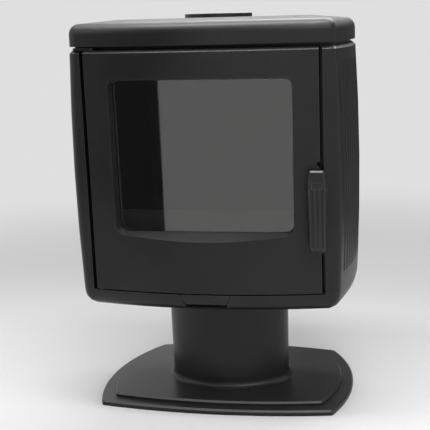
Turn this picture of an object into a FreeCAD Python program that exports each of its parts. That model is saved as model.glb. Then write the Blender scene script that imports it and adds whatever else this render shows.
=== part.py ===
import FreeCAD, Part
import math
import os

# Cast iron wood stove on a pedestal. Millimetres, +Z up, the door faces -Y, +X is the viewer's right.
# The origin is on the floor, on the axis of the column.

V = FreeCAD.Vector
overrun = 20.0          # how far a cutting shape reaches past the face it cuts
contact_gap = 0.3       # play between pieces that lie loosely beside each other
bolt_gap = 0.15         # play of a bolt in its hole
running_gap = 0.05      # radial play of a turning pin

# Body plan: four bowed walls with rounded corners
front_bulge = 212.0     # column axis to the middle of the front
back_bulge = 196.0      # column axis to the middle of the back
front_bow_radius = 1080.0
back_bow_radius = 2200.0
side_bulge = 288.0      # half of the greatest width
side_bow_radius = 900.0
barrel_radius = 4600.0  # the side walls also swell in height
barrel_middle = 490.0
corner_radius = 20.0
wall = 8.0

# Body heights
rim_bottom = 226.0
rim_round = 30.0        # rounding between the rim and the underside
rim_top = 262.0
body_top = 745.0
top_bevel = 6.0
flange_width = 22.0     # inward flange along the top of the walls
flange_thick = 10.0
barrel_level_shares = (0.0, 0.25, 0.5, 0.75, 1.0)
rim_angle_shares = (0.0, 0.25, 0.5, 0.75, 1.0)

# Where the walls part into castings
rear_depth = 46.0       # of the rear wall casting, from the middle of the back

# Flutes of the side walls
flute_pitch = 20.0
flute_count = 15
flute_middle = -8.0     # middle of the fluted field, along the side
flute_radius = 9.0
flute_depth = 2.2
flute_top_drop = 30.0
flute_bottom_rise = 38.0

# Floor pan
pan_floor = 10.0
pan_rim_width = 16.0
pan_shelf = 8.0
shelf_ledge = 7.0

# Base and column
base_thick = 11.0
base_corner_half = 246.0
base_corner_front = 168.0
base_front_bulge = 190.0
base_side_bulge = 273.0
base_rear_half = 213.0
base_rear_corner = 189.0
base_back_bulge = 215.0
base_corner_radius = 9.0
base_edge_bevel = 3.5
plateau_inset = 24.0
plateau_rise = 8.5
base_hollow_inset = 40.0
base_hollow_depth = 9.0
column_half_width = 130.0
column_half_depth = 89.0
column_flare = 2.0      # the column is this much wider at its head
column_wall = 9.0
column_flange_width = 24.0
column_flange_thick = 8.0
foot_reach = 9.0        # the moulding round the foot of the column
foot_height = 13.0
foot_height_shares = (0.0, 0.2, 0.5, 1.0)
foot_reach_shares = (1.0, 0.45, 0.15, 0.0)

# Bolts of the column
bolt_radius = 4.0
bolt_head_radius = 7.5
bolt_head_height = 4.5
bolt_angles = (40.0, 140.0, 220.0, 320.0)

# Lid
lid_gap = 7.0           # shadow gap between body and lid
lid_height = 50.0
lid_dome_rise = 6.0
lid_dome_reach = 70.0  # from the round edge inwards, to where the top is flat
lid_corner_radius = 23.0
lid_edge_round = 21.0
lid_side_inset = 7.5    # the lid lies this far inside the widest part of the body
lid_skirt = 20.0
lid_skin = 15.0
lid_round_shares = (0.0, 0.2, 0.4, 0.6, 0.8, 1.0)
seal_inset = 10.0
seal_width = 8.0
seal_thick = 2.0
seal_front_lap = 2.0    # the front run of the seal lies this far onto the front frame

# Flue collar
collar_bore = 61.0
collar_outer = 70.0
collar_stand = 8.0      # above the crest of the lid
collar_step = 6.0       # ledge that stops the pipe
collar_step_height = 8.0
collar_flange_radius = 90.0
collar_flange_thick = 8.0
collar_bolt_circle = 80.0
collar_bolt_radius = 3.0
collar_bolt_head = 5.5
collar_bolt_count = 3

# Rear flue cover
rear_cover_drop = 135.0
rear_hole_radius = 60.0
rear_cover_radius = 76.0
rear_boss_radius = 80.0
rear_boss_stand = 3.0
rear_cover_thick = 6.0
rear_screw_circle = 68.0
rear_screw_radius = 2.5
rear_screw_head = 4.5
rear_screw_head_height = 2.5
rear_screw_count = 3

# Door
post_reach = 56.0       # widest part of the body to the edge of the door
door_bottom_gap = 3.0
door_top_gap = 0.6
door_left_gap = 8.0
door_right_gap = 7.0
door_edge_thick = 21.8
door_seat_gap = 2.0     # back of the door to the land that its rope seals on
door_skin = 10.0
door_relief = 6.0       # bevel that lets the hinge edge swing
land_thick = 15.0
land_lap = 34.0         # edge of the door to the edge of the opening
opening_bottom_rise = 32.0
opening_top_drop = 31.0
rope_inset = 19.0
rope_width = 8.0
rope_groove = 3.0

# Window
stile_width = 46.5
window_taper = 2.0
top_rail = 55.4
bottom_rail = 113.0
window_sag = 9.5        # the lower edge of the window hangs lower in its middle
window_top_round = 14.0
window_bottom_round = 18.0
window_reach = 4.0      # the splay of the window is drawn from this far in front of the door
window_seat_depth = 12.0
window_jamb = 6.5       # how far the jambs lean in at the sides
window_head = 4.5
window_sill = 6.0
window_sill_sag = 1.0
glass_edge = 10.0       # glass hidden behind the jamb on each side
glass_thick = 4.0
glass_seal_thick = 2.0
glass_seal_width = 7.0
glass_play = 1.0
clip_shelf = 12.0
clip_thick = 2.5
clip_length = 24.0
clip_overlap = 8.0
clip_screw_radius = 2.5
clip_screw_head = 4.0
clip_screw_head_height = 2.0
clip_screw_depth = 9.0
clip_height_shares = (0.18, 0.82)

# Door hinge
hinge_inset = 9.0       # hinge axis to the edge of the door
hinge_axis_depth = 11.0
hinge_pin_radius = 4.0
hinge_pin_depth = 30.0
hinge_boss_radius = 10.0
strap_thick = 4.5
strap_front_reach = 8.0
strap_rear_reach = 12.0
strap_left_reach = 31.0
strap_right_reach = 13.0
strap_screw_radius = 2.5
strap_screw_head = 4.5
strap_screw_depth = 14.0
strap_screw_inset = 7.0
strap_screw_head_height = 1.6
pan_pin_depth = 18.0

# Handle on its upright pin
handle_pin_inset = 6.0
handle_pin_depth = 15.0
handle_pin_radius = 3.0
handle_pin_end = 13.0
handle_notch_gap = 7.5  # top of the grip to the middle of the notch
handle_notch_radius = 7.0
knuckle_rise = 47.0
knuckle_length = 70.0
knuckle_radius = 7.0
knuckle_end_gap = 0.5
knuckle_room = 3.0
grip_inset = 4.0        # middle of the grip to the edge of the door
grip_half = 18.5
grip_rise = 88.0
grip_length = 160.0
grip_stand = 3.0        # in front of the middle of the door
grip_thick = 12.0
grip_bevel = 3.0
grip_half_shares = (0.62, 0.86, 0.92, 1.0, 0.87, 0.7)
grip_height_shares = (0.0, 0.03, 0.4, 0.77, 0.96, 1.0)
groove_count = 3
groove_pitch = 9.5
groove_radius = 4.0
groove_depth = 1.6
groove_bottom_share = 0.05
groove_top_share = 0.78
pad_depth = 1.2         # shallow field above the ribs of the grip
pad_height = 12.0
web_half = 5.0
web_margin = 5.0
nose_reach = 11.0
nose_rise = 20.0
nose_height = 30.0

# Latch catch
catch_gap = 0.8
catch_depth = 6.0
catch_front_reach = 1.0
catch_rear_reach = 13.0
catch_margin = 10.0
catch_screw_radius = 2.0
catch_screw_head = 3.5
catch_screw_head_height = 1.0
catch_screw_depth = 9.0

# Air control
tab_half_top = 51.0
tab_half_bottom = 42.0
tab_drop = 21.0
tab_gap = 1.2
finger_gap = 6.0
tongue_half = 36.0
tongue_rear = -70.0
tongue_rise = 11.0
tongue_thick = 5.0
guide_width = 10.0
guide_lip = 6.0
guide_cap = 3.0
guide_rear = -30.0

# Ash space and firebox
ash_floor_thick = 8.0
runner_inset = 30.0
runner_width = 8.0
runner_height = 26.0
ash_pan_gap = 15.0
ash_pan_front_gap = 10.0
ash_pan_rear_gap = 54.0
ash_pan_height = 44.0
ash_pan_sheet = 2.0
ash_pan_lip = 14.0
hearth_clear = 5.0      # between the ash pan and the hearth plate
hearth_thick = 10.0
liner_gap = 7.0         # between the tie rods and the lining
hearth_front_gap = 6.0
hearth_rear_gap = 6.0
skirt_inset = 57.0
grate_half = 110.0
grate_front = -75.0
grate_rear = 75.0
grate_ledge = 8.0
grate_thick = 6.0
grate_slot_count = 9
grate_slot_width = 9.0
grate_slot_margin = 12.0
liner_thick = 22.0
liner_top_drop = 55.0
baffle_thick = 10.0
baffle_front = -60.0
log_bar_height = 65.0
log_bar_thick = 7.0
log_bar_gap = 8.0
log_bar_foot = 20.0
log_bar_round = 12.0
deflector_gap = 4.0
deflector_sheet = 3.0
deflector_height = 24.0
deflector_depth = 30.0

# Tie rods between pan and lid
rod_inset = 54.0        # widest part of the body to the rods
rod_front_gap = 24.0
rod_rear_gap = 12.0
rod_radius = 5.0
rod_boss_radius = 10.0
rod_lid_depth = 20.0
nut_radius = 8.5
nut_height = 6.0

# Derived places
floor_pan_top = rim_bottom + pan_floor
door_half = side_bulge - post_reach
opening_half = door_half - land_lap
window_half_top = door_half - stile_width
window_half_bottom = window_half_top - window_taper
grip_middle = door_half - grip_inset
rod_half = side_bulge - rod_inset
hearth_half = rod_half - rod_radius - liner_gap
skirt_half = hearth_half - skirt_inset
ash_pan_half = skirt_half - ash_pan_gap
runner_half = ash_pan_half - runner_inset
log_bar_half = hearth_half - liner_thick - log_bar_gap
deflector_half = opening_half - deflector_gap
front_fall = front_bow_radius - math.sqrt(front_bow_radius ** 2 - door_half ** 2)
door_back = -front_bulge + front_fall + door_edge_thick
front_split = door_back + door_seat_gap
rear_split = back_bulge - rear_depth
seal_front = -front_split - seal_front_lap
hinge_axis_y = door_back - hinge_axis_depth
strap_front = hinge_axis_y - strap_front_reach
strap_rear = hinge_axis_y + strap_rear_reach
handle_pin_y = door_back - handle_pin_depth
catch_front = handle_pin_y - catch_front_reach
catch_rear = handle_pin_y + catch_rear_reach
window_seat = door_back - window_seat_depth
grip_front = -front_bulge - grip_stand
door_bottom = rim_top + door_bottom_gap
door_top = body_top - door_top_gap
window_top = door_top - top_rail
window_bottom_side = door_bottom + bottom_rail
grip_bottom = door_bottom + grip_rise
handle_notch_height = grip_bottom + grip_length + handle_notch_gap
knuckle_bottom = grip_bottom + knuckle_rise
knuckle_top = knuckle_bottom + knuckle_length
nose_bottom = knuckle_bottom + nose_rise
flute_top = body_top - flute_top_drop
flute_bottom = rim_top + flute_bottom_rise
rear_cover_height = body_top - rear_cover_drop
door_left = -door_half - door_left_gap
door_right = door_half + door_right_gap
land_front = front_split
land_back = land_front + land_thick
hearth_front = land_back + hearth_front_gap
hearth_rear = rear_split - hearth_rear_gap
rod_front = hearth_front + rod_front_gap
rod_rear = hearth_rear - rod_rear_gap
ash_pan_front = land_back + ash_pan_front_gap
ash_pan_rear = hearth_rear - ash_pan_rear_gap
opening_bottom = rim_top + opening_bottom_rise
opening_top = body_top - opening_top_drop
lid_bottom = body_top + lid_gap
lid_crest = lid_bottom + lid_height
lid_under = lid_crest - lid_skin
lid_shoulder = lid_crest - lid_dome_rise
collar_top = lid_crest + collar_stand
plateau_top = base_thick + plateau_rise
hinge_x = -door_half + hinge_inset
handle_pin_x = door_half - handle_pin_inset
glass_front = window_seat + glass_seal_thick
glass_back = glass_front + glass_thick
glass_half = window_half_top - window_jamb + glass_edge
glass_bottom = window_bottom_side + window_sill - glass_edge
glass_top = window_top - window_head + glass_edge
ash_floor_top = rim_top + ash_floor_thick
hearth_under = ash_floor_top + runner_height + ash_pan_height + hearth_clear
hearth_height = hearth_under + hearth_thick
liner_top = body_top - liner_top_drop
tongue_bottom = floor_pan_top + tongue_rise
shelf_back = land_back + shelf_ledge
guide_front = shelf_back + contact_gap
rear_face = back_bulge + rear_boss_stand


def box(x0, x1, y0, y1, z0, z1):
    return Part.makeBox(x1 - x0, y1 - y0, z1 - z0, V(x0, y0, z0))


def upright(x, y, z0, z1, radius):
    return Part.makeCylinder(radius, z1 - z0, V(x, y, z0), V(0, 0, 1))


def lengthwise(x, z, y0, y1, radius):
    return Part.makeCylinder(radius, y1 - y0, V(x, y0, z), V(0, 1, 0))


def crosswise(y, z, x0, x1, radius):
    return Part.makeCylinder(radius, x1 - x0, V(x0, y, z), V(1, 0, 0))


def hexagon(x, y, z0, z1, radius):
    corners = []
    for k in range(7):
        turn = math.radians(60 * k)
        corners.append(V(x + radius * math.cos(turn), y + radius * math.sin(turn), z0))
    return Part.Face(Part.makePolygon(corners)).extrude(V(0, 0, z1 - z0))


def arc(p, q, r):
    return Part.Arc(p, q, r).toShape()


def line(p, q):
    return Part.LineSegment(p, q).toShape()


def prism(wire, rise):
    return Part.Face(wire).extrude(rise)


def joined(shapes):
    whole = shapes[0]
    if len(shapes) > 1:
        whole = whole.fuse(shapes[1:]).removeSplitter()
    return whole


def group(shapes):
    return Part.makeCompound(shapes)


def mirrored(shape):
    return shape.mirror(V(0, 0, 0), V(1, 0, 0))


def save(name, shape):
    shape.exportStep("parts/" + name + ".step")


def corner_centre(bow_centre, bow_radius, side_centre, side_radius, towards_front):
    # Point at bow_radius from a centre on the Y axis and at side_radius from one on the X axis.
    span = math.hypot(bow_centre, side_centre)
    along = (bow_radius ** 2 - side_radius ** 2 + span ** 2) / (2 * span)
    off = math.sqrt(bow_radius ** 2 - along ** 2)
    step = V(side_centre, -bow_centre, 0).multiply(1 / span)
    foot = V(0, bow_centre, 0) + step * along
    normal = V(-step.y, step.x, 0)
    pick = min if towards_front else max
    return pick(foot + normal * off, foot - normal * off, key=lambda point: point.y)


def barrel_drop(z):
    # How far the side wall lies inside its widest place at one height.
    return barrel_radius - math.sqrt(barrel_radius ** 2 - (z - barrel_middle) ** 2)


def plan_wire(inset, z, corner, side_inset=0.0):
    # Outline of the body at one height: two bows, two bowed sides and four round corners.
    drop = barrel_drop(z)
    front_c = -front_bulge + front_bow_radius
    back_c = back_bulge - back_bow_radius
    side_c = side_bulge - side_bow_radius
    front_r = front_bow_radius - inset
    back_r = back_bow_radius - inset
    side_r = side_bow_radius - inset - (side_inset if side_inset else drop)
    fc = corner_centre(front_c, front_r - corner, side_c, side_r - corner, True)
    rc = corner_centre(back_c, back_r - corner, side_c, side_r - corner, False)

    def pushed(centre, point, reach):
        way = V(point.x - centre.x, point.y - centre.y, 0)
        way.normalize()
        return V(centre.x, centre.y, 0) + way * reach

    def middle(centre, a, b, reach):
        return pushed(centre, (a + b) * 0.5, reach)

    front_centre = V(0, front_c, 0)
    back_centre = V(0, back_c, 0)
    side_centre = V(side_c, 0, 0)
    a = pushed(front_centre, fc, front_r)
    b = pushed(side_centre, fc, side_r)
    c = pushed(side_centre, rc, side_r)
    d = pushed(back_centre, rc, back_r)

    def flip(p):
        return V(-p.x, p.y, p.z)

    front_mid = V(0, front_c - front_r, 0)
    back_mid = V(0, back_c + back_r, 0)
    side_mid = V(side_c + side_r, 0, 0)
    turn_front = middle(fc, a, b, corner)
    turn_back = middle(rc, c, d, corner)
    edges = [
        arc(flip(a), front_mid, a),
        arc(a, turn_front, b),
        arc(b, side_mid, c),
        arc(c, turn_back, d),
        arc(d, back_mid, flip(d)),
        arc(flip(d), flip(turn_back), flip(c)),
        arc(flip(c), flip(side_mid), flip(b)),
        arc(flip(b), flip(turn_front), flip(a)),
    ]
    wire = Part.Wire(edges)
    wire.translate(V(0, 0, z))
    return wire


def barrel_levels():
    return [rim_top + share * (body_top - rim_top) for share in barrel_level_shares]


def body_solid(inset, z0, z1):
    # The barrel shaped body between two heights, drawn in by an inset.
    corner = max(corner_radius - inset, wall)
    levels = [z0] + [z for z in barrel_levels() if z0 < z < z1] + [z1]
    return Part.makeLoft([plan_wire(inset, z, corner) for z in levels], True, True)


def outer_body():
    # Walls from the rim up to the bevel along the top.
    walls = body_solid(0, rim_top, body_top - top_bevel)
    low = plan_wire(0, body_top - top_bevel, corner_radius)
    high = plan_wire(top_bevel, body_top, corner_radius - top_bevel)
    return walls.fuse(Part.makeLoft([low, high], True, True))


def body_shell(outer):
    # Wall of even thickness with an inward flange along the top.
    hollow = body_solid(wall, rim_top - overrun, body_top - flange_thick)
    mouth = body_solid(flange_width, body_top - flange_thick - overrun, body_top + overrun)
    return outer.cut(hollow).cut(mouth)


def base_outline(inset):
    front_corner = V(base_corner_half - inset, -base_corner_front + inset, 0)
    rear_corner = V(base_rear_half - inset, base_rear_corner - inset, 0)
    left_front = V(-front_corner.x, front_corner.y, 0)
    left_rear = V(-rear_corner.x, rear_corner.y, 0)
    side = base_side_bulge - inset
    return Part.Wire([
        arc(left_front, V(0, -base_front_bulge + inset, 0), front_corner),
        arc(front_corner, V(side, 0, 0), rear_corner),
        arc(rear_corner, V(0, base_back_bulge - inset, 0), left_rear),
        arc(left_rear, V(-side, 0, 0), left_front),
    ])


def upright_edges(shape):
    found = []
    for edge in shape.Edges:
        ends = [v.Point for v in edge.Vertexes]
        if len(ends) == 2 and abs(ends[0].z - ends[1].z) > 0.5 * shape.BoundBox.ZLength:
            found.append(edge)
    return found


def edges_at(shape, z):
    near = running_gap
    return [e for e in shape.Edges if abs(e.BoundBox.ZMin - z) < near and abs(e.BoundBox.ZMax - z) < near]


def rounded_slab(inset, thick):
    slab = prism(base_outline(inset), V(0, 0, thick))
    slab = slab.makeFillet(base_corner_radius, upright_edges(slab))
    return slab.makeChamfer(base_edge_bevel, edges_at(slab, thick))


def bolt_places():
    reach = column_wall + 0.5 * column_flange_width
    places = []
    for angle in bolt_angles:
        turn = math.radians(angle)
        x = (column_half_width - reach) * math.cos(turn)
        y = (column_half_depth - reach) * math.sin(turn)
        places.append((x, y))
    return places


def base_plate():
    plate = rounded_slab(0, base_thick)
    plateau = rounded_slab(plateau_inset, plateau_top)
    hollow = prism(base_outline(base_hollow_inset), V(0, 0, base_hollow_depth))
    plate = joined([plate, plateau]).cut(hollow)
    for x, y in bolt_places():
        plate = plate.cut(upright(x, y, 0, plateau_top + overrun, bolt_radius + bolt_gap))
    return plate


def oval(grow, z):
    half_width = column_half_width + grow
    half_depth = column_half_depth + grow
    curve = Part.Ellipse(V(0, 0, z), half_width, half_depth)
    return Part.Wire(curve.toShape())


def pedestal_column():
    shell = Part.makeLoft([oval(0, plateau_top), oval(column_flare, rim_bottom)], True, True)
    foot = []
    for height, reach in zip(foot_height_shares, foot_reach_shares):
        foot.append(oval(foot_reach * reach, plateau_top + foot_height * height))
    moulding = Part.makeLoft(foot, True, True)
    bore_low = plateau_top + column_flange_thick
    bore_high = rim_bottom - column_flange_thick
    bore = Part.makeLoft([oval(-column_wall, bore_low), oval(-column_wall, bore_high)], True, True)
    inner = -column_wall - column_flange_width
    throat_ends = [oval(inner, plateau_top - overrun), oval(inner, rim_bottom + overrun)]
    throat = Part.makeLoft(throat_ends, True, True)
    column = joined([shell, moulding]).cut(bore).cut(throat)
    for x, y in bolt_places():
        column = column.cut(upright(x, y, 0, rim_bottom + overrun, bolt_radius + bolt_gap))
    return column


def pedestal_bolts():
    bolts = []
    for x, y in bolt_places():
        low_seat = base_hollow_depth
        low_end = plateau_top + column_flange_thick + bolt_head_height
        head = hexagon(x, y, low_seat - bolt_head_height, low_seat, bolt_head_radius)
        bolts.append(joined([head, upright(x, y, low_seat, low_end, bolt_radius)]))
        high_seat = rim_bottom - column_flange_thick
        head = hexagon(x, y, high_seat - bolt_head_height, high_seat, bolt_head_radius)
        bolts.append(joined([head, upright(x, y, high_seat, floor_pan_top, bolt_radius)]))
    return group(bolts)


def rod_places():
    return [(side * rod_half, y) for side in (-1, 1) for y in (rod_front, rod_rear)]


def rim_block():
    # Rounded dish shape of the pan, before it is hollowed.
    round_top = rim_bottom + rim_round
    sections = []
    for share in rim_angle_shares:
        turn = 0.5 * math.pi * share
        inset = rim_round * (1 - math.cos(turn))
        z = round_top - rim_round * math.sin(turn)
        corner = corner_radius * (1 - 0.6 * share)
        sections.append(plan_wire(inset, z, corner))
    bowl = Part.makeLoft(sections, True, True)
    band_ends = [plan_wire(0, round_top, corner_radius), plan_wire(0, rim_top, corner_radius)]
    band = Part.makeLoft(band_ends, True, True)
    return bowl.fuse(band)


def trapezoid(half_top, half_bottom, z0, z1, y0, y1):
    wire = Part.makePolygon([
        V(-half_bottom, y0, z0),
        V(half_bottom, y0, z0),
        V(half_top, y0, z1),
        V(-half_top, y0, z1),
        V(-half_bottom, y0, z0),
    ])
    return prism(wire, V(0, y1 - y0, 0))


def front_band(inset, z0, z1):
    # Everything in front of the body's front surface drawn in by an inset.
    front_c = -front_bulge + front_bow_radius
    block = box(-side_bulge, side_bulge, -front_bulge - overrun, 0, z0, z1)
    return block.cut(upright(0, front_c, z0, z1, front_bow_radius - inset))


def floor_pan():
    pan = rim_block()
    depth = rim_top + overrun - floor_pan_top
    low = prism(plan_wire(pan_rim_width, floor_pan_top, wall), V(0, 0, depth))
    shelf = box(-side_bulge, side_bulge, -front_bulge, shelf_back, rim_top - pan_shelf, rim_top + overrun)
    boss = upright(hinge_x, hinge_axis_y, floor_pan_top, rim_top, hinge_boss_radius)
    pan = pan.cut(low.cut(shelf).cut(boss))
    tab_bottom = rim_top - tab_drop
    half_low = tab_half_bottom + tab_gap
    half_high = tab_half_top + tab_gap
    way = trapezoid(half_high, half_low, tab_bottom, rim_top, -front_bulge - overrun, 0)
    below = box(-half_low, half_low, -front_bulge - overrun, 0, tab_bottom - finger_gap, tab_bottom)
    above = box(-half_high, half_high, -front_bulge - overrun, 0, rim_top, rim_top + overrun)
    rim_front = front_band(pan_rim_width + tab_gap, rim_bottom, rim_top + overrun)
    pan = pan.cut(joined([way, below, above]).common(rim_front))
    pin_end = rim_top - pan_pin_depth
    pan = pan.cut(upright(hinge_x, hinge_axis_y, pin_end, rim_top + overrun, hinge_pin_radius))
    for x, y in rod_places():
        pan = pan.cut(upright(x, y, rim_bottom - overrun, rim_top, rod_radius + bolt_gap))
    for x, y in bolt_places():
        pan = pan.cut(upright(x, y, rim_bottom - overrun, rim_top, bolt_radius + bolt_gap))
    return pan


def air_slide():
    tab_bottom = rim_top - tab_drop
    block = rim_block().common(front_band(pan_rim_width, rim_bottom, rim_top))
    tab = trapezoid(tab_half_top, tab_half_bottom, tab_bottom, rim_top, -front_bulge - overrun, 0)
    tab = tab.common(block)
    tongue_front = -front_bulge + 0.5 * pan_rim_width
    tongue_top = tongue_bottom + tongue_thick
    tongue = box(-tongue_half, tongue_half, tongue_front, tongue_rear, tongue_bottom, tongue_top)
    bow = front_band(0.5 * pan_rim_width, rim_bottom, rim_top)
    return joined([tab, tongue.cut(bow)])


def air_slide_guides():
    inner = tongue_half + contact_gap
    top = tongue_bottom + tongue_thick + contact_gap
    guides = []
    for side in (-1, 1):
        outer = inner + guide_width
        rail = box(inner - guide_lip, outer, guide_front, guide_rear, floor_pan_top, top + guide_cap)
        slot = box(0, inner, guide_front, guide_rear, tongue_bottom - contact_gap, top)
        rail = rail.cut(slot)
        guides.append(rail if side > 0 else mirrored(rail))
    return group(guides)


def front_frame(outer):
    # Two posts beside the door and, between the side walls, the land that the door seals on.
    posts = outer.common(box(-side_bulge, side_bulge, -front_bulge, front_split, rim_top, body_top))
    posts = posts.cut(box(door_left, door_right, -front_bulge - overrun, front_split, rim_top, body_top))
    under_flange = body_top - flange_thick - contact_gap
    land = body_solid(wall + contact_gap, rim_top, under_flange)
    land = land.fuse(body_solid(flange_width + contact_gap, under_flange, body_top))
    land = land.common(box(-side_bulge, side_bulge, front_split, land_back, rim_top, body_top))
    frame = joined([posts, land])
    opening = box(-opening_half, opening_half, -front_bulge, 0, opening_bottom, opening_top)
    frame = frame.cut(opening).cut(catch_room())
    screw_x = hinge_x - strap_left_reach + strap_screw_inset
    screw_low = body_top - strap_screw_depth
    frame = frame.cut(upright(screw_x, strap_screw_y(), screw_low, body_top + overrun, strap_screw_radius))
    for z in catch_screw_levels():
        reach = door_right + catch_depth + catch_screw_depth
        frame = frame.cut(crosswise(catch_middle(), z, door_right, reach, catch_screw_radius))
    return frame


def catch_levels():
    return nose_bottom - catch_margin, nose_bottom + nose_height + catch_margin


def catch_screw_levels():
    low, high = catch_levels()
    return low + 0.5 * catch_margin, high - 0.5 * catch_margin


def catch_middle():
    return 0.5 * (catch_front + catch_rear)


def catch_room():
    low, high = catch_levels()
    return box(door_right - overrun, door_right + catch_depth, catch_front, catch_rear, low, high)


def latch_catch():
    # Friction plate that the nose of the handle slides past, with a rounded lead at its front.
    low, high = catch_levels()
    face = handle_pin_x + nose_reach + catch_gap
    back = door_right + catch_depth
    plate = box(face, back, catch_front, catch_rear, low, high)
    lead = plate.Edges
    soft = [e for e in lead if abs(e.BoundBox.XMax - face) < running_gap and e.BoundBox.ZLength > catch_depth]
    plate = plate.makeChamfer(catch_screw_head, soft[:1])
    for z in catch_screw_levels():
        plate = plate.cut(crosswise(catch_middle(), z, face, back, catch_screw_radius))
        sunk = crosswise(catch_middle(), z, face, face + catch_screw_head_height, catch_screw_head)
        plate = plate.cut(sunk)
    return plate


def latch_catch_screws():
    face = handle_pin_x + nose_reach + catch_gap
    end = door_right + catch_depth + catch_screw_depth
    screws = []
    for z in catch_screw_levels():
        head = crosswise(catch_middle(), z, face, face + catch_screw_head_height, catch_screw_head - bolt_gap)
        shank = crosswise(catch_middle(), z, face, end, catch_screw_radius)
        screws.append(joined([head, shank]))
    return group(screws)


def flute_cutters():
    # Hollow flutes that follow the barrel of the side wall, spread round the bowed side.
    sections = []
    for z in [flute_bottom] + [z for z in barrel_levels() if flute_bottom < z < flute_top] + [flute_top]:
        centre = V(side_bulge - barrel_drop(z) + flute_radius - flute_depth, 0, z)
        sections.append(Part.Wire(Part.Circle(centre, V(0, 0, 1), flute_radius).toShape()))
    flute = Part.makeLoft(sections, True, True)
    swing = V(side_bulge - side_bow_radius, 0, 0)
    step = math.degrees(flute_pitch / side_bow_radius)
    start_turn = math.degrees(flute_middle / side_bow_radius) - 0.5 * step * (flute_count - 1)
    cutters = []
    for k in range(flute_count):
        cutter = flute.copy()
        cutter.rotate(swing, V(0, 0, 1), start_turn + step * k)
        cutters.append(cutter)
    return cutters


def side_panel(shell):
    half = shell.common(box(0, side_bulge + overrun, front_split, rear_split, rim_top, body_top))
    return half.cut(flute_cutters())


def rear_panel(shell):
    panel = shell.common(box(-side_bulge, side_bulge, rear_split, back_bulge + overrun, rim_top, body_top))
    boss = lengthwise(0, rear_cover_height, back_bulge - wall, rear_face, rear_boss_radius)
    hole = lengthwise(0, rear_cover_height, 0, back_bulge + overrun, rear_hole_radius)
    panel = joined([panel, boss]).cut(hole)
    for x, z in rear_screw_places():
        panel = panel.cut(lengthwise(x, z, back_bulge - overrun, rear_face, rear_screw_radius))
    return panel


def rear_screw_places():
    places = []
    for k in range(rear_screw_count):
        turn = math.radians(90 + 360 * k / rear_screw_count)
        x = rear_screw_circle * math.cos(turn)
        places.append((x, rear_cover_height + rear_screw_circle * math.sin(turn)))
    return places


def rear_flue_cover():
    cover = lengthwise(0, rear_cover_height, rear_face, rear_face + rear_cover_thick, rear_cover_radius)
    for x, z in rear_screw_places():
        cover = cover.cut(lengthwise(x, z, rear_face, rear_face + overrun, rear_screw_radius + bolt_gap))
    return cover


def rear_cover_screws():
    seat = rear_face + rear_cover_thick
    screws = []
    for x, z in rear_screw_places():
        head = lengthwise(x, z, seat, seat + rear_screw_head_height, rear_screw_head)
        shank = lengthwise(x, z, back_bulge - wall, seat, rear_screw_radius)
        screws.append(joined([head, shank]))
    return group(screws)


def lid_plan(inset, z):
    return plan_wire(inset, z, max(lid_corner_radius - inset, wall), lid_side_inset)


def seal_ring(z0, z1):
    rise = V(0, 0, z1 - z0)
    outer = prism(lid_plan(seal_inset, z0), rise)
    inner = prism(lid_plan(seal_inset + seal_width, z0), rise)
    outer = outer.common(box(-side_bulge, side_bulge, -seal_front, back_bulge, z0, z1))
    inner = inner.common(box(-side_bulge, side_bulge, -seal_front + seal_width, back_bulge, z0, z1))
    return outer.cut(inner)


def top_plate():
    # Upright rim, large round edge and a shallow dome up to the flat round the collar.
    sections = [lid_plan(0, lid_bottom)]
    for share in lid_round_shares:
        turn = 0.5 * math.pi * share
        inset = lid_edge_round * (1 - math.cos(turn))
        sections.append(lid_plan(inset, lid_shoulder - lid_edge_round * (1 - math.sin(turn))))
    sections.append(lid_plan(lid_edge_round + lid_dome_reach, lid_crest))
    block = Part.makeLoft(sections, True, True)
    hollow = prism(lid_plan(lid_skirt, lid_bottom), V(0, 0, lid_under - lid_bottom))
    bosses = [upright(x, y, lid_bottom, lid_under, rod_boss_radius) for x, y in rod_places()]
    hollow = hollow.cut(bosses)
    plate = block.cut(hollow)
    plate = joined([plate, seal_ring(body_top + seal_thick, lid_bottom)])
    plate = plate.cut(upright(0, 0, lid_bottom, collar_top, collar_outer + contact_gap))
    for x, y in rod_places():
        plate = plate.cut(upright(x, y, lid_bottom, lid_bottom + rod_lid_depth, rod_radius + bolt_gap))
    for x, y in collar_bolt_places():
        plate = plate.cut(upright(x, y, lid_under, lid_under + 0.5 * lid_skin, collar_bolt_radius + bolt_gap))
    return plate


def collar_bolt_places():
    places = []
    for k in range(collar_bolt_count):
        turn = math.radians(90 + 360 * k / collar_bolt_count)
        places.append((collar_bolt_circle * math.cos(turn), collar_bolt_circle * math.sin(turn)))
    return places


def flue_collar():
    bottom = lid_under - collar_flange_thick
    collar = joined([
        upright(0, 0, bottom, collar_top, collar_outer),
        upright(0, 0, bottom, lid_under, collar_flange_radius),
    ])
    collar = collar.cut(upright(0, 0, bottom + collar_step_height, collar_top, collar_bore))
    collar = collar.cut(upright(0, 0, bottom, collar_top, collar_bore - collar_step))
    for x, y in collar_bolt_places():
        collar = collar.cut(upright(x, y, bottom, lid_under, collar_bolt_radius + bolt_gap))
    return collar


def flue_collar_bolts():
    seat = lid_under - collar_flange_thick
    bolts = []
    for x, y in collar_bolt_places():
        head = hexagon(x, y, seat - bolt_head_height, seat, collar_bolt_head)
        bolts.append(joined([head, upright(x, y, seat, lid_under + 0.5 * lid_skin, collar_bolt_radius)]))
    return group(bolts)


def tie_rods():
    top = lid_bottom + rod_lid_depth
    return group([upright(x, y, rim_bottom - nut_height, top, rod_radius) for x, y in rod_places()])


def tie_rod_nuts():
    nuts = []
    for x, y in rod_places():
        nut = hexagon(x, y, rim_bottom - nut_height, rim_bottom, nut_radius)
        nuts.append(nut.cut(upright(x, y, rim_bottom - nut_height, rim_bottom, rod_radius)))
    return group(nuts)


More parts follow.
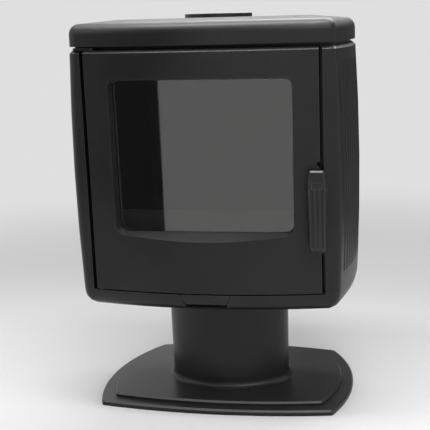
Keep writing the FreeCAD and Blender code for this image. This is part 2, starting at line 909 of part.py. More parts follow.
def window_wire(y, lean, head, sill, sag):
    # Straight head and jambs, and a sill that sags to the middle.
    half_t = window_half_top - lean
    half_b = window_half_bottom - lean
    top = window_top - head
    low = window_bottom_side + sill
    mid = low - sag
    bend = 1 - math.sqrt(0.5)
    rt = window_top_round
    rb = window_bottom_round

    def right(x, z):
        return V(x, y, z)

    def left(x, z):
        return V(-x, y, z)

    edges = [
        line(left(half_t - rt, top), right(half_t - rt, top)),
        arc(right(half_t - rt, top), right(half_t - bend * rt, top - bend * rt), right(half_t, top - rt)),
        line(right(half_t, top - rt), right(half_b, low + rb)),
        arc(right(half_b, low + rb), right(half_b - bend * rb, low + bend * rb), right(half_b - rb, low)),
        arc(right(half_b - rb, low), V(0, y, mid), left(half_b - rb, low)),
        arc(left(half_b - rb, low), left(half_b - bend * rb, low + bend * rb), left(half_b, low + rb)),
        line(left(half_b, low + rb), left(half_t, top - rt)),
        arc(left(half_t, top - rt), left(half_t - bend * rt, top - bend * rt), left(half_t - rt, top)),
    ]
    return Part.Wire(edges)


def window_cut():
    front = window_wire(-front_bulge - window_reach, 0, 0, 0, window_sag)
    seat = window_wire(window_seat, window_jamb, window_head, window_sill, window_sill_sag)
    return Part.makeLoft([front, seat], True, True)


def glass_room(grow, y0, y1):
    return box(-glass_half - grow, glass_half + grow, y0, y1, glass_bottom - grow, glass_top + grow)


def rope_ring(grow, y0, y1):
    reach = rope_inset - grow
    inner = rope_inset + rope_width + grow
    outside = box(-door_half + reach, door_half - reach, y0, y1, door_bottom + reach, door_top - reach)
    inside = box(-door_half + inner, door_half - inner, y0, y1, door_bottom + inner, door_top - inner)
    return outside.cut(inside)


def clip_places():
    # Two clips on each upright side of the glass.
    height = glass_top - glass_bottom
    return [(side, glass_bottom + share * height) for side in (-1, 1) for share in clip_height_shares]


def clip_screw_x():
    return glass_half + 0.5 * clip_shelf


def door_frame(outer):
    slab = outer.common(box(-door_half, door_half, -front_bulge, door_back, door_bottom, door_top))
    slab = slab.cut(window_cut())
    slab = slab.cut(glass_room(glass_play, window_seat, door_back))
    slab = slab.cut(glass_room(clip_shelf, glass_back, door_back))
    slab = slab.cut(rope_ring(contact_gap, door_back - rope_groove, door_back))
    low = door_bottom + rope_inset + rope_width + door_skin
    high = glass_bottom - clip_shelf - door_skin
    pocket = box(-opening_half, opening_half, -front_bulge, door_back, low, high)
    slab = slab.cut(pocket.cut(front_band(door_skin, low, high)))
    relief = Part.makePolygon([
        V(-door_half, door_back, door_bottom),
        V(-door_half + door_relief, door_back, door_bottom),
        V(-door_half, door_back - door_relief, door_bottom),
        V(-door_half, door_back, door_bottom),
    ])
    slab = slab.cut(prism(relief, V(0, 0, door_top - door_bottom)))
    pin_room = hinge_pin_radius + running_gap
    low_bore = upright(hinge_x, hinge_axis_y, door_bottom, door_bottom + hinge_pin_depth, pin_room)
    high_bore = upright(hinge_x, hinge_axis_y, door_top - hinge_pin_depth, door_top, hinge_pin_radius)
    slab = slab.cut([low_bore, high_bore])
    room = knuckle_radius + knuckle_room
    low = knuckle_bottom - knuckle_end_gap
    high = knuckle_top + knuckle_end_gap
    slab = slab.cut(box(handle_pin_x - room, door_half, -front_bulge, door_back, low, high))
    low = knuckle_bottom - handle_pin_end
    slab = slab.cut(upright(handle_pin_x, handle_pin_y, low, handle_notch_height, handle_pin_radius))
    slab = slab.cut(lengthwise(door_half, handle_notch_height, -front_bulge, door_back, handle_notch_radius))
    for side, z in clip_places():
        x = side * clip_screw_x()
        slab = slab.cut(lengthwise(x, z, glass_back - clip_screw_depth, glass_back, clip_screw_radius))
    return slab


def door_glass():
    return glass_room(0, glass_front, glass_back)


def glass_gasket():
    ring = glass_room(0, window_seat, glass_front)
    return ring.cut(glass_room(-glass_seal_width, window_seat, glass_front))


def glass_clips():
    clips = []
    for side, z in clip_places():
        inner = glass_half - clip_overlap
        outer = glass_half + clip_shelf - glass_play
        back = glass_back + clip_thick
        clip = box(inner, outer, glass_back, back, z - 0.5 * clip_length, z + 0.5 * clip_length)
        clip = clip.cut(lengthwise(clip_screw_x(), z, glass_back, back, clip_screw_radius + bolt_gap))
        clips.append(clip if side > 0 else mirrored(clip))
    return group(clips)


def glass_clip_screws():
    seat = glass_back + clip_thick
    screws = []
    for side, z in clip_places():
        x = side * clip_screw_x()
        head = lengthwise(x, z, seat, seat + clip_screw_head_height, clip_screw_head)
        shank = lengthwise(x, z, glass_back - clip_screw_depth, seat, clip_screw_radius)
        screws.append(joined([head, shank]))
    return group(screws)


def door_gasket():
    return rope_ring(0, door_back - rope_groove, land_front - contact_gap)


def upper_hinge_pin():
    top = body_top + strap_thick
    return upright(hinge_x, hinge_axis_y, door_top - hinge_pin_depth, top, hinge_pin_radius)


def lower_hinge_pin():
    # The collar on the pin carries the weight of the door.
    pin_top = door_bottom + hinge_pin_depth - running_gap
    pin = upright(hinge_x, hinge_axis_y, rim_top - pan_pin_depth, pin_top, hinge_pin_radius)
    seat = hinge_boss_radius - running_gap
    bearing = upright(hinge_x, hinge_axis_y, rim_top, door_bottom - contact_gap, seat)
    return joined([pin, bearing])


def strap_screw_y():
    return 0.5 * (strap_front + strap_rear)


def upper_hinge_strap():
    left = hinge_x - strap_left_reach
    right = hinge_x + strap_right_reach
    strap = box(left, right, strap_front, strap_rear, body_top, body_top + strap_thick)
    strap = strap.makeFillet(strap_screw_inset, upright_edges(strap))
    bore = upright(hinge_x, hinge_axis_y, body_top, body_top + strap_thick, hinge_pin_radius + running_gap)
    screw_x = left + strap_screw_inset
    hole = upright(screw_x, strap_screw_y(), body_top, body_top + strap_thick, strap_screw_radius + bolt_gap)
    return strap.cut([bore, hole])


def hinge_strap_screw():
    screw_x = hinge_x - strap_left_reach + strap_screw_inset
    seat = body_top + strap_thick
    head = upright(screw_x, strap_screw_y(), seat, seat + strap_screw_head_height, strap_screw_head)
    shank = upright(screw_x, strap_screw_y(), body_top - strap_screw_depth, seat, strap_screw_radius)
    return joined([head, shank])


def handle_pin():
    low = knuckle_bottom - handle_pin_end
    high = handle_notch_height - handle_pin_radius
    return upright(handle_pin_x, handle_pin_y, low, high, handle_pin_radius)


def grip_outline(y, inset):
    half = grip_half - inset
    bottom = grip_bottom + inset
    length = grip_length - 2 * inset
    right = []
    left = []
    for wide, high in zip(grip_half_shares, grip_height_shares):
        z = bottom + high * length
        right.append(V(grip_middle + wide * half, y, z))
        left.insert(0, V(grip_middle - wide * half, y, z))
    corners = right + left
    return Part.makePolygon(corners + corners[:1])


def door_handle():
    back = grip_front + grip_thick
    shoulder = grip_front + grip_bevel
    slab = prism(grip_outline(shoulder, 0), V(0, back - shoulder, 0))
    face = Part.makeLoft([grip_outline(shoulder, 0), grip_outline(grip_front, grip_bevel)], True, True)
    grip = joined([slab, face])
    low = grip_bottom + groove_bottom_share * grip_length
    high = grip_bottom + groove_top_share * grip_length
    for k in range(groove_count):
        x = grip_middle + groove_pitch * (k - 0.5 * (groove_count - 1))
        y = grip_front - groove_radius + groove_depth
        grip = grip.cut(upright(x, y, low, high, groove_radius))
    pad_left = grip_middle - groove_pitch
    pad_right = grip_middle + groove_pitch
    grip = grip.cut(box(pad_left, pad_right, grip_front, grip_front + pad_depth, high, high + pad_height))
    knuckle = upright(handle_pin_x, handle_pin_y, knuckle_bottom, knuckle_top, knuckle_radius)
    web_low = knuckle_bottom + web_margin
    web_high = knuckle_top - web_margin
    web = box(handle_pin_x - web_half, handle_pin_x + web_half, back, handle_pin_y, web_low, web_high)
    nose_top = nose_bottom + nose_height
    nose_x = handle_pin_x + nose_reach
    nose = box(handle_pin_x, nose_x, handle_pin_y, handle_pin_y + nose_reach, nose_bottom, nose_top)
    handle = joined([grip, knuckle, web, nose])
    bore = upright(handle_pin_x, handle_pin_y, knuckle_bottom, knuckle_top, handle_pin_radius + running_gap)
    return handle.cut(bore)


def ash_floor():
    plan = plan_wire(wall + contact_gap, rim_top, corner_radius - wall)
    plate = prism(plan, V(0, 0, ash_floor_thick))
    behind = land_back + contact_gap
    plate = plate.cut(box(-side_bulge, side_bulge, -front_bulge, behind, rim_top, ash_floor_top))
    runners = []
    for side in (-1, 1):
        middle = side * runner_half
        runners.append(box(
            middle - 0.5 * runner_width, middle + 0.5 * runner_width,
            ash_pan_front, ash_pan_rear, ash_floor_top, ash_floor_top + runner_height,
        ))
    plate = joined([plate] + runners)
    for x, y in rod_places():
        plate = plate.cut(upright(x, y, rim_top, ash_floor_top, rod_radius + bolt_gap))
    return plate


def ash_pan():
    low = ash_floor_top + runner_height
    high = low + ash_pan_height
    tray = box(-ash_pan_half, ash_pan_half, ash_pan_front, ash_pan_rear, low, high)
    sheet = ash_pan_sheet
    room = box(
        -ash_pan_half + sheet, ash_pan_half - sheet,
        ash_pan_front + sheet, ash_pan_rear - sheet, low + sheet, high,
    )
    lip = box(
        -0.5 * ash_pan_half, 0.5 * ash_pan_half,
        ash_pan_front - ash_pan_lip, ash_pan_front, high - sheet, high,
    )
    return joined([tray.cut(room), lip])


def grate_frame():
    plate = box(-hearth_half, hearth_half, hearth_front, hearth_rear, hearth_under, hearth_height)
    skirts = []
    for side in (-1, 1):
        inner = skirt_half
        outer = skirt_half + wall
        skirt = box(inner, outer, hearth_front, hearth_rear, ash_floor_top, hearth_under)
        skirts.append(skirt if side > 0 else mirrored(skirt))
    plate = joined([plate] + skirts)
    seat = hearth_height - grate_thick
    room = box(
        -grate_half - contact_gap, grate_half + contact_gap,
        grate_front - contact_gap, grate_rear + contact_gap, seat, hearth_height,
    )
    through = box(
        -grate_half + grate_ledge, grate_half - grate_ledge,
        grate_front + grate_ledge, grate_rear - grate_ledge, hearth_under, hearth_height,
    )
    return plate.cut(room).cut(through)


def fire_grate():
    seat = hearth_height - grate_thick
    plate = box(-grate_half, grate_half, grate_front, grate_rear, seat, hearth_height)
    span = 2 * (grate_half - grate_slot_margin)
    pitch = span / grate_slot_count
    slots = []
    for k in range(grate_slot_count):
        x = -grate_half + grate_slot_margin + pitch * (k + 0.5)
        slots.append(box(
            x - 0.5 * grate_slot_width, x + 0.5 * grate_slot_width,
            grate_front + grate_slot_margin, grate_rear - grate_slot_margin, seat, hearth_height,
        ))
    return plate.cut(slots)


def right_liner():
    return box(hearth_half - liner_thick, hearth_half, hearth_front, hearth_rear, hearth_height, liner_top)


def rear_liner():
    inner = hearth_half - liner_thick - contact_gap
    return box(-inner, inner, hearth_rear - liner_thick, hearth_rear, hearth_height, liner_top)


def baffle_plate():
    return box(-hearth_half, hearth_half, baffle_front, hearth_rear, liner_top, liner_top + baffle_thick)


def log_retainer():
    low = hearth_height
    back = hearth_front + log_bar_thick
    plate = box(-log_bar_half, log_bar_half, hearth_front, back, low, low + log_bar_height)
    foot = box(-log_bar_half, log_bar_half, back, hearth_front + log_bar_foot, low, low + log_bar_thick)
    bar = joined([plate, foot])
    upper = [e for e in bar.Edges if e.BoundBox.ZMin > low + 0.5 * log_bar_height]
    corners = [e for e in upper if e.BoundBox.XLength < log_bar_thick]
    return bar.makeFillet(log_bar_round, corners)


def air_wash_deflector():
    sheet = deflector_sheet
    low = opening_top
    back = land_back + deflector_depth
    plate = box(-deflector_half, deflector_half, land_back, land_back + sheet, low, low + deflector_height)
    shelf = box(-deflector_half, deflector_half, land_back, back, low, low + sheet)
    return joined([plate, shelf])


def main():
    os.makedirs("parts", exist_ok=True)
    outer = outer_body()
    shell = body_shell(outer)
    save("base_plate", base_plate())
    save("pedestal_column", pedestal_column())
    save("pedestal_bolts", pedestal_bolts())
    save("floor_pan", floor_pan())
    save("front_frame", front_frame(outer))
    right_side = side_panel(shell)
    save("side_panel_right", right_side)
    save("side_panel_left", mirrored(right_side))
    save("rear_panel", rear_panel(shell))
    save("rear_flue_cover", rear_flue_cover())
    save("rear_cover_screws", rear_cover_screws())
    save("top_plate", top_plate())
    save("lid_gasket", seal_ring(body_top, body_top + seal_thick))
    save("flue_collar", flue_collar())
    save("flue_collar_bolts", flue_collar_bolts())
    save("tie_rods", tie_rods())
    save("tie_rod_nuts", tie_rod_nuts())
    save("ash_floor", ash_floor())
    save("ash_pan", ash_pan())
    save("grate_frame", grate_frame())
    save("fire_grate", fire_grate())
    save("right_liner", right_liner())
    save("left_liner", mirrored(right_liner()))
    save("rear_liner", rear_liner())
    save("baffle_plate", baffle_plate())
    save("log_retainer", log_retainer())
    save("air_wash_deflector", air_wash_deflector())
    save("air_slide_guides", air_slide_guides())
    save("upper_hinge_strap", upper_hinge_strap())
    save("hinge_strap_screw", hinge_strap_screw())
    save("lower_hinge_pin", lower_hinge_pin())
    save("latch_catch", latch_catch())
    save("latch_catch_screws", latch_catch_screws())
    save("door_frame", door_frame(outer))
    save("door_glass", door_glass())
    save("glass_gasket", glass_gasket())
    save("glass_clips", glass_clips())
    save("glass_clip_screws", glass_clip_screws())
    save("door_gasket", door_gasket())
    save("upper_hinge_pin", upper_hinge_pin())
    save("handle_pin", handle_pin())
    save("door_handle", door_handle())
    save("air_slide", air_slide())


main()
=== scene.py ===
import math

import bmesh
import bpy
from mathutils import Matrix, Vector

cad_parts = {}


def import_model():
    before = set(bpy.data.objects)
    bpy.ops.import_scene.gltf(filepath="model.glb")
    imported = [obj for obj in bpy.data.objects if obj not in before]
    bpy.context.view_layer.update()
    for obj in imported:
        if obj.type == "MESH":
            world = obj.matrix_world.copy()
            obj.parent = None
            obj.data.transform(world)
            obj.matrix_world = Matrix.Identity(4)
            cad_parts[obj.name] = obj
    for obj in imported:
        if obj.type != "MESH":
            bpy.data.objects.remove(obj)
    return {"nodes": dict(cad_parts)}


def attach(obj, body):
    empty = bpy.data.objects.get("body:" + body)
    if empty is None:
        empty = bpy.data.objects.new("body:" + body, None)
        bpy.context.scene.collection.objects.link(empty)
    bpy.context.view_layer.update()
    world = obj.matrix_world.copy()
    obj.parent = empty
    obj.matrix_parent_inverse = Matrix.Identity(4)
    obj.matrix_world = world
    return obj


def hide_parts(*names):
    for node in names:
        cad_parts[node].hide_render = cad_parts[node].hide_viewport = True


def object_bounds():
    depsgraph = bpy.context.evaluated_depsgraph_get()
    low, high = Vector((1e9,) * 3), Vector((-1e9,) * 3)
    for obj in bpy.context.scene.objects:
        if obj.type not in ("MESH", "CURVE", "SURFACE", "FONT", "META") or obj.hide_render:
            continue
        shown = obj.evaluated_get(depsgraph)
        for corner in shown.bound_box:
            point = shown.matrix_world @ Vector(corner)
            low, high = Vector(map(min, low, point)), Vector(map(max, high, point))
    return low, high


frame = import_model()
cad_low, cad_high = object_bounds()

# Camera that matches the photograph: pixels, metres and radians

PHOTO_WIDTH = 430
FOCAL_PIXELS = 943.5
OFF_CENTRE_PIXELS = 60    # the photograph is an off-centre crop
SENSOR = 36.0             # millimetres
EYE = Vector((0.4581, -1.9598, 0.7982))
TURN = 0.1766             # towards -X
TILT = 0.2061             # downwards
ROLL = -0.0261

# Pieces of the stove; lengths in metres

CASTINGS = (
    "base_plate", "pedestal_column", "floor_pan", "front_frame", "side_panel_left", "side_panel_right",
    "rear_panel", "top_plate", "flue_collar", "door_frame", "door_handle", "air_slide",
)
HANDLED = ("door_handle", "air_slide")    # touched often, so smooth and free of dust, with no painted top light; their bright edges are wear and painted highlight
HEARTH = ("log_retainer", "fire_grate", "grate_frame", "baffle_plate")    # bare iron, greyed by heat
BLACKENED = ("upper_hinge_strap",)        # painted with the body

CAST_EDGE = 0.0012
CAST_EDGE_STEPS = 2
SHARP_ANGLE = math.radians(38)    # edges that turn more than this are rounded
FLAT_WEIGHT = 100                 # large faces keep their own normals
WELD_REACH = 0.00001
# Lighter edges of the castings: wear, and on the handled iron also painted highlight
WEAR_AND_HIGHLIGHT_EDGE = 0.0022
WEAR_AND_HIGHLIGHT_COSINES = (0.99, 0.80)       # turn of the surface at which edge wear, and painted edge highlight, starts and is full
DUST_AND_TOP_LIGHT_SLOPE = 0.35                 # steeper faces take no dust and no painted top light
# colour of the dust and of the painted top light on up-facing faces
DUST_AND_TOP_LIGHT_TONE = 0.032

STRAND_PITCH = 0.006
STRAND_DEPTH = 0.0005
STRAND_SLANT = 1.6
SEALS = (    # node, body, cell of the even mesh that the strands are cut into
    ("door_gasket", "door", 0.0009),
    ("glass_gasket", "door", 0.0008),
    ("lid_gasket", "stove", 0.0009),
)

SCREWS = (    # node, body, direction that the heads face
    ("rear_cover_screws", "stove", (0, 1, 0)),
    ("glass_clip_screws", "door", (0, 1, 0)),
    ("latch_catch_screws", "stove", (-1, 0, 0)),
    ("hinge_strap_screw", "stove", (0, 0, 1)),
)
SCREW_STEPS = 24
HEAD_HEIGHT_SHARE = 0.55    # of the head's radius
SHANK_SHARE = 0.5           # of the head's radius
HEAD_RING_SHARES = (        # of the head's radius, of its height below the top, and whether it is a hexagon
    (1.0, 1.0, False),
    (1.0, 0.45, False),
    (0.9, 0.12, False),
    (0.72, 0.0, False),
    (0.5, 0.0, True),
    (0.46, 0.6, True),
)

# Floor, studio and lamps

WHITE = (1, 1, 1, 1)
FLOOR_HALF = 40.0
FLOOR_DROP = 0.0002    # keeps the floor clear of the underside of the base
FLOOR_GREY = (0.72, 0.72, 0.72, 1)
FLOOR_FADE = (0.9, 2.6)    # distance from the stove at which the floor turns into the backdrop
FOOT_ARCS = (    # centre and radius of the four arcs that bound the base plate
    ((0, 1.1964, 0), 1.3864),
    ((0, -0.6705, 0), 0.8855),
    ((-0.1247, -0.0222, 0), 0.3984),
    ((0.1247, -0.0222, 0), 0.3984),
)
FOOT_INSET = 0.004    # the floor reaches this far under the base plate; the rest is open to light
WORLD_LIGHT = 0.45
BACKDROP = 0.74
CEILING = 5.0
CEILING_RISE = (0.6, 0.97)    # height of a direction, as a share, over which the ceiling brightens
SCREENS = (    # name, left end, right end, place along Y, height, level
    ("left_screen", -2.4, -0.52, -1.6, 1.6, 0.05),
    ("right_screen", -0.15, 2.6, 1.2, 1.0, 0.1),
)
LAMPS = (    # name, place, point that it faces, size, watts, beam in degrees
    ("key", (1.6, -2.2, 2.4), (0, 0, 0.5), (2.6, 2.0), 36, 180),
    ("top", (0.0, -0.4, 2.5), (0, 0, 0.6), (1.8, 0.45), 32, 180),
    ("fill", (-2.4, -1.6, 1.6), (0, 0, 0.5), (1.0, 1.6), 10, 180),
    ("rim", (0.2, 1.3, 1.9), (0, 0, 0.78), (2.2, 0.3), 6, 70),
)


# Material helpers

def new_material(name):
    """A node material with its principled shader, ready for more nodes."""
    mat = bpy.data.materials.new(name)
    mat.use_nodes = True
    return mat, mat.node_tree, mat.node_tree.nodes["Principled BSDF"]


def add(tree, kind, **values):
    """One node of that kind; values are its properties, or its inputs by name."""
    node = tree.nodes.new(kind)
    for key, value in values.items():
        if hasattr(node, key):
            setattr(node, key, value)
        else:
            node.inputs[key.replace("_", " ")].default_value = value
    return node


def object_coords(tree):
    """Places on a piece in its own frame, so that its texture moves with it."""
    return tree.nodes.new("ShaderNodeTexCoord").outputs["Object"]


def upward(tree, direction):
    """The Z share of a direction."""
    split = tree.nodes.new("ShaderNodeSeparateXYZ")
    tree.links.new(direction, split.inputs["Vector"])
    return split.outputs["Z"]


def ramp(tree, source, stops):
    """A colour ramp on a value; stops are (place, colour)."""
    node = tree.nodes.new("ShaderNodeValToRGB")
    while len(node.color_ramp.elements) < len(stops):
        node.color_ramp.elements.new(0.5)
    for element, (place, colour) in zip(node.color_ramp.elements, stops):
        element.position = place
        element.color = colour
    tree.links.new(source, node.inputs["Fac"])
    return node.outputs["Color"]


def grey(level, tint=(1, 1, 1)):
    """A grey of that level, leaning to a tint."""
    return (level * tint[0], level * tint[1], level * tint[2], 1)


def noise(tree, coords, scale, detail=4.0, roughness=0.55):
    """Cloudy noise, about 0 to 1."""
    node = add(tree, "ShaderNodeTexNoise", Scale=scale, Detail=detail, Roughness=roughness)
    tree.links.new(coords, node.inputs["Vector"])
    return node.outputs["Fac"]


def mapped(tree, value, low=0.0, high=1.0, start=0.0, stop=1.0, kind="LINEAR"):
    """A value between start and stop, spread over low to high."""
    node = add(tree, "ShaderNodeMapRange", interpolation_type=kind,
               From_Min=start, From_Max=stop, To_Min=low, To_Max=high)
    tree.links.new(value, node.inputs["Value"])
    return node.outputs["Result"]


def combine(tree, operation, first, second):
    """Two values joined by a sum, product or other operation."""
    node = add(tree, "ShaderNodeMath", operation=operation)
    tree.links.new(first, node.inputs[0])
    tree.links.new(second, node.inputs[1])
    return node.outputs["Value"]


def mix_shaders(tree, factor, first, second):
    """The first shader where the factor is 0, the second where it is 1."""
    node = tree.nodes.new("ShaderNodeMixShader")
    tree.links.new(factor, node.inputs["Fac"])
    tree.links.new(first, node.inputs[1])
    tree.links.new(second, node.inputs[2])
    return node.outputs["Shader"]


def blend_colour(tree, factor, first, second):
    """The first colour where the factor is 0, the second where it is 1."""
    node = add(tree, "ShaderNodeMix", data_type="RGBA")
    tree.links.new(factor, node.inputs["Factor"])
    for socket, value in (("A", first), ("B", second)):
        target = [s for s in node.inputs if s.name == socket and s.type == "RGBA"][0]
        if hasattr(value, "links"):
            tree.links.new(value, target)
        else:
            target.default_value = value
    return [s for s in node.outputs if s.type == "RGBA"][0]


def bump(tree, height, distance, strength, under=None):
    """A bump from a height, on top of another bump where one is given."""
    node = add(tree, "ShaderNodeBump", Strength=strength, Distance=distance)
    tree.links.new(height, node.inputs["Height"])
    if under:
        tree.links.new(under, node.inputs["Normal"])
    return node.outputs["Normal"]


def edge_mask(tree, radius):
    """1 along sharp edges and 0 on plain faces."""
    bevel = add(tree, "ShaderNodeBevel", samples=4, Radius=radius)
    geometry = tree.nodes.new("ShaderNodeNewGeometry")
    dot = add(tree, "ShaderNodeVectorMath", operation="DOT_PRODUCT")
    tree.links.new(bevel.outputs["Normal"], dot.inputs[0])
    tree.links.new(geometry.outputs["Normal"], dot.inputs[1])
    start, stop = WEAR_AND_HIGHLIGHT_COSINES
    return mapped(tree, dot.outputs["Value"], start=start, stop=stop)


def dust_and_top_light(tree, coords):
    """How much fine dust and painted top light a place takes: some, in patches, where the face looks up,
    none elsewhere.
    """
    normal = tree.nodes.new("ShaderNodeNewGeometry").outputs["Normal"]
    level = mapped(tree, upward(tree, normal), start=DUST_AND_TOP_LIGHT_SLOPE)
    patches = mapped(tree, noise(tree, coords, scale=22.0, detail=6.0), low=0.25, high=0.75)
    return combine(tree, "MULTIPLY", level, patches)


# Materials, one for each slot of the record, and the irons with a finish of their own

def cast_iron(name, tones, worn_and_highlight_tone, gloss, rough, dusty_and_top_lit):
    """Heat-proof matt paint on cast iron: sandy grain, soft mottling, lighter edges from wear and painted
    highlight, and on up-facing faces dust with painted top light where asked.
    """
    mat, tree, shader = new_material(name)
    coords = object_coords(tree)
    dark, light = tones
    mottle = noise(tree, coords, scale=9.0, detail=5.0)
    colour = ramp(tree, mottle, (
        (0.32, grey(dark, tint=(1.06, 1.0, 1.0))),
        (0.68, grey(light, tint=(1.04, 0.99, 1.0))),
    ))
    patches = mapped(tree, noise(tree, coords, scale=40.0, detail=6.0), low=0.1, high=0.8)
    # edges lightened in patches: wear on the paint, and on the handled iron a painted highlight
    wear_and_highlight = combine(tree, "MULTIPLY", edge_mask(tree, WEAR_AND_HIGHLIGHT_EDGE), patches)
    colour = blend_colour(tree, wear_and_highlight, colour, grey(worn_and_highlight_tone, tint=(0.98, 1.0, 1.03)))
    # up-facing faces lightened in patches: dust and painted top light
    if dusty_and_top_lit:
        colour = blend_colour(tree, dust_and_top_light(tree, coords), colour, grey(DUST_AND_TOP_LIGHT_TONE, tint=(0.97, 1.0, 1.03)))
    tree.links.new(colour, shader.inputs["Base Color"])
    shader.inputs["Specular IOR Level"].default_value = gloss
    smooth, coarse = rough
    sheen = mapped(tree, noise(tree, coords, scale=30.0, detail=6.0), low=smooth, high=coarse)
    tree.links.new(sheen, shader.inputs["Roughness"])
    swell = bump(tree, noise(tree, coords, scale=60.0, detail=2.0), distance=0.0004, strength=0.3)
    grain = noise(tree, coords, scale=900.0, detail=3.0, roughness=0.6)
    sandy = bump(tree, grain, distance=0.00006, strength=0.6, under=swell)
    tree.links.new(sandy, shader.inputs["Normal"])
    return mat


def steel():
    """Dull machined steel with fine turning marks."""
    mat, tree, shader = new_material("steel")
    shader.inputs["Metallic"].default_value = 1.0
    coords = object_coords(tree)
    stretch = add(tree, "ShaderNodeMapping", Scale=(1.0, 1.0, 9.0))
    tree.links.new(coords, stretch.inputs["Vector"])
    marks = noise(tree, stretch.outputs["Vector"], scale=420.0)
    tone = ramp(tree, noise(tree, coords, scale=80.0), (
        (0.3, grey(0.06)),
        (0.7, grey(0.11, tint=(1.0, 0.99, 0.97))),
    ))
    tree.links.new(tone, shader.inputs["Base Color"])
    tree.links.new(mapped(tree, marks, low=0.30, high=0.50), shader.inputs["Roughness"])
    tree.links.new(bump(tree, marks, distance=0.0001, strength=0.4), shader.inputs["Normal"])
    return mat


def sheet_steel():
    """Heat-tinted sheet steel, blue-grey with faint straw patches."""
    mat, tree, shader = new_material("sheet_steel")
    shader.inputs["Metallic"].default_value = 1.0
    coords = object_coords(tree)
    tint = ramp(tree, noise(tree, coords, scale=14.0, detail=6.0), (
        (0.3, grey(0.05, tint=(0.96, 0.99, 1.04))),
        (0.55, grey(0.08)),
        (0.75, grey(0.09, tint=(1.08, 1.0, 0.90))),
    ))
    tree.links.new(tint, shader.inputs["Base Color"])
    sheen = mapped(tree, noise(tree, coords, scale=120.0), low=0.48, high=0.66)
    tree.links.new(sheen, shader.inputs["Roughness"])
    rolled = bump(tree, noise(tree, coords, scale=300.0), distance=0.0001, strength=0.3)
    tree.links.new(rolled, shader.inputs["Normal"])
    return mat


def fire_lining():
    """Pressed fire board: flaky, near black, darker in cloudy patches."""
    mat, tree, shader = new_material("fire_lining")
    coords = object_coords(tree)
    flakes = add(tree, "ShaderNodeTexVoronoi", Scale=420.0)
    tree.links.new(coords, flakes.inputs["Vector"])
    tone = ramp(tree, flakes.outputs["Distance"], (
        (0.1, grey(0.021, tint=(1.0, 0.95, 0.88))),
        (0.8, grey(0.017, tint=(1.0, 0.95, 0.90))),
    ))
    # darker in cloudy patches, towards near black
    dark_patches = mapped(tree, noise(tree, coords, scale=7.0, detail=6.0), low=0.1, high=0.8)
    colour = blend_colour(tree, dark_patches, tone, grey(0.008, tint=(1.0, 0.97, 0.94)))
    tree.links.new(colour, shader.inputs["Base Color"])
    shader.inputs["Roughness"].default_value = 0.95
    shader.inputs["Specular IOR Level"].default_value = 0.1
    flaky = bump(tree, flakes.outputs["Distance"], distance=0.0002, strength=0.35)
    tree.links.new(flaky, shader.inputs["Normal"])
    return mat


def rope_seal():
    """Braided glass fibre rope, dark grey."""
    mat, tree, shader = new_material("rope_seal")
    strands = add(tree, "ShaderNodeTexWave", bands_direction="DIAGONAL",
                  Scale=160.0, Distortion=2.0, Detail=2.0)
    tree.links.new(object_coords(tree), strands.inputs["Vector"])
    tone = ramp(tree, strands.outputs["Fac"], ((0.2, grey(0.035)), (0.8, grey(0.085))))
    tree.links.new(tone, shader.inputs["Base Color"])
    shader.inputs["Roughness"].default_value = 0.9
    yarn = bump(tree, strands.outputs["Fac"], distance=0.0008, strength=0.8)
    tree.links.new(yarn, shader.inputs["Normal"])
    return mat


def fire_glass():
    """Clear ceramic glass with a faint smoke haze."""
    mat, tree, shader = new_material("fire_glass")
    haze = noise(tree, object_coords(tree), scale=6.0, detail=5.0)
    colour = ramp(tree, haze, (
        (0.3, grey(0.62, tint=(1.0, 0.98, 0.95))),
        (0.8, grey(0.72, tint=(1.0, 0.98, 0.96))),
    ))
    tree.links.new(colour, shader.inputs["Base Color"])
    tree.links.new(mapped(tree, haze, low=0.0, high=0.05), shader.inputs["Roughness"])
    shader.inputs["Transmission Weight"].default_value = 1.0
    shader.inputs["IOR"].default_value = 1.78
    return mat


PAINT_TONES = (0.0085, 0.0135)
MATERIALS = {
    "black_cast_iron": cast_iron("black_cast_iron", PAINT_TONES, worn_and_highlight_tone=0.06, gloss=0.31,
                                 rough=(0.28, 0.42), dusty_and_top_lit=True),
    "steel": steel(),
    "sheet_steel": sheet_steel(),
    "fire_lining": fire_lining(),
    "rope_seal": rope_seal(),
    "fire_glass": fire_glass(),
}
# The handled iron's bright edge tone is partly wear and partly painted highlight along the grip's ribs and
# top; it takes no dust and no painted top light.
HANDLED_IRON = cast_iron("handled_iron", PAINT_TONES, worn_and_highlight_tone=0.20, gloss=0.36,
                         rough=(0.24, 0.34), dusty_and_top_lit=False)
HEARTH_IRON = cast_iron("hearth_iron", tones=(0.03, 0.055), worn_and_highlight_tone=0.15, gloss=0.25,
                        rough=(0.45, 0.62), dusty_and_top_lit=False)
OWN_FINISHES = (
    (HANDLED, HANDLED_IRON),
    (HEARTH, HEARTH_IRON),
    (BLACKENED, MATERIALS["black_cast_iron"]),
)


def paint_frame():
    """Every CAD node gets the material of its slot, or a finish of its own."""
    for name, node in frame["nodes"].items():
        finish = MATERIALS[node.data.materials[0].name.split(".")[0]]
        for group, own in OWN_FINISHES:
            if name in group:
                finish = own
        node.data.materials.clear()
        node.data.materials.append(finish)


def soften_edges():
    """Castings have no knife edges: a small round on every sharp edge of the larger ones."""
    for name in CASTINGS:
        node = frame["nodes"][name]
        weld = node.modifiers.new("weld", "WELD")
        weld.merge_threshold = WELD_REACH
        bevel = node.modifiers.new("cast_edges", "BEVEL")
        bevel.width = CAST_EDGE
        bevel.segments = CAST_EDGE_STEPS
        bevel.limit_method = "ANGLE"
        bevel.angle_limit = SHARP_ANGLE
        bevel.use_clamp_overlap = True
        normals = node.modifiers.new("flat_faces", "WEIGHTED_NORMAL")
        normals.weight = FLAT_WEIGHT
        normals.keep_sharp = True


# Pieces that stand for soft or small CAD nodes

